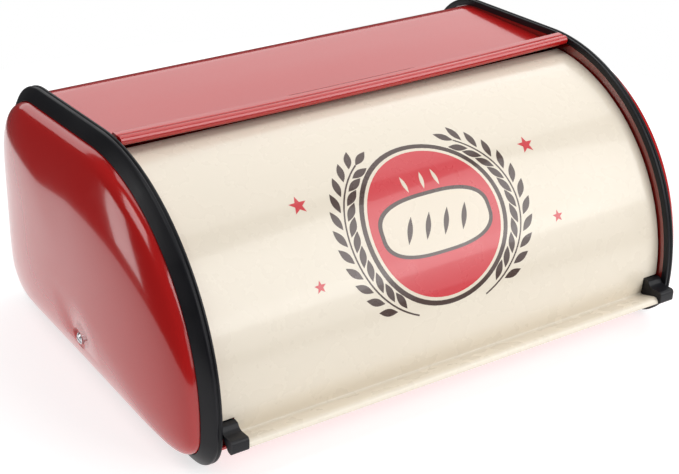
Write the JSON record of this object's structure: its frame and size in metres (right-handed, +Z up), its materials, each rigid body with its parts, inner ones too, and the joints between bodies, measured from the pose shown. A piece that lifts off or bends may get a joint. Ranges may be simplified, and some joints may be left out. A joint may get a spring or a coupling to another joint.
{
  "type": "bread box with roll top",
  "caption": "Roll-top bread box: painted sheet body, domed end covers, edge trims and a rigid curved lid that swings up and in under the top panel.",
  "frame": {"origin": "centre of the bounding box's bottom face, on the surface the box stands on", "axes": "+X along the box's length, which is also its mirror axis; -Y is the front, where the lid opens; +Z up"},
  "size_m": [0.4314, 0.2996, 0.181],
  "materials": {
    "red_paint": "glossy red enamel on thin steel sheet",
    "cream_paint": "semi-gloss cream enamel on thin steel sheet",
    "black_plastic": "satin charcoal-black moulded plastic",
    "steel": "zinc-plated steel",
    "nylon": "natural nylon"
  },
  "bodies": {
    "body": {"body_wrap": "red_paint", "end_wall_left": "red_paint", "end_wall_right": "red_paint", "end_dome_left": "red_paint", "end_dome_right": "red_paint", "end_trim_left": "black_plastic", "end_trim_right": "black_plastic", "pivot_screw_left": "steel", "pivot_screw_right": "steel", "pivot_sleeve_left": "steel", "pivot_sleeve_right": "steel", "pivot_nut_left": "steel", "pivot_nut_right": "steel", "pivot_washer_left": "nylon", "pivot_washer_right": "nylon"},
    "lid": {"lid_sheet": "cream_paint", "lid_arm_left": "steel", "lid_arm_right": "steel", "lid_clip_left": "black_plastic", "lid_clip_right": "black_plastic"}
  },
  "joints": [
    {"name": "lid_swing", "type": "hinge", "parent": "body", "child": "lid", "pos_m": [0, -0.00185, 0.0392], "axis": [-1, 0, 0], "range_deg": [0, 84]}
  ]
}
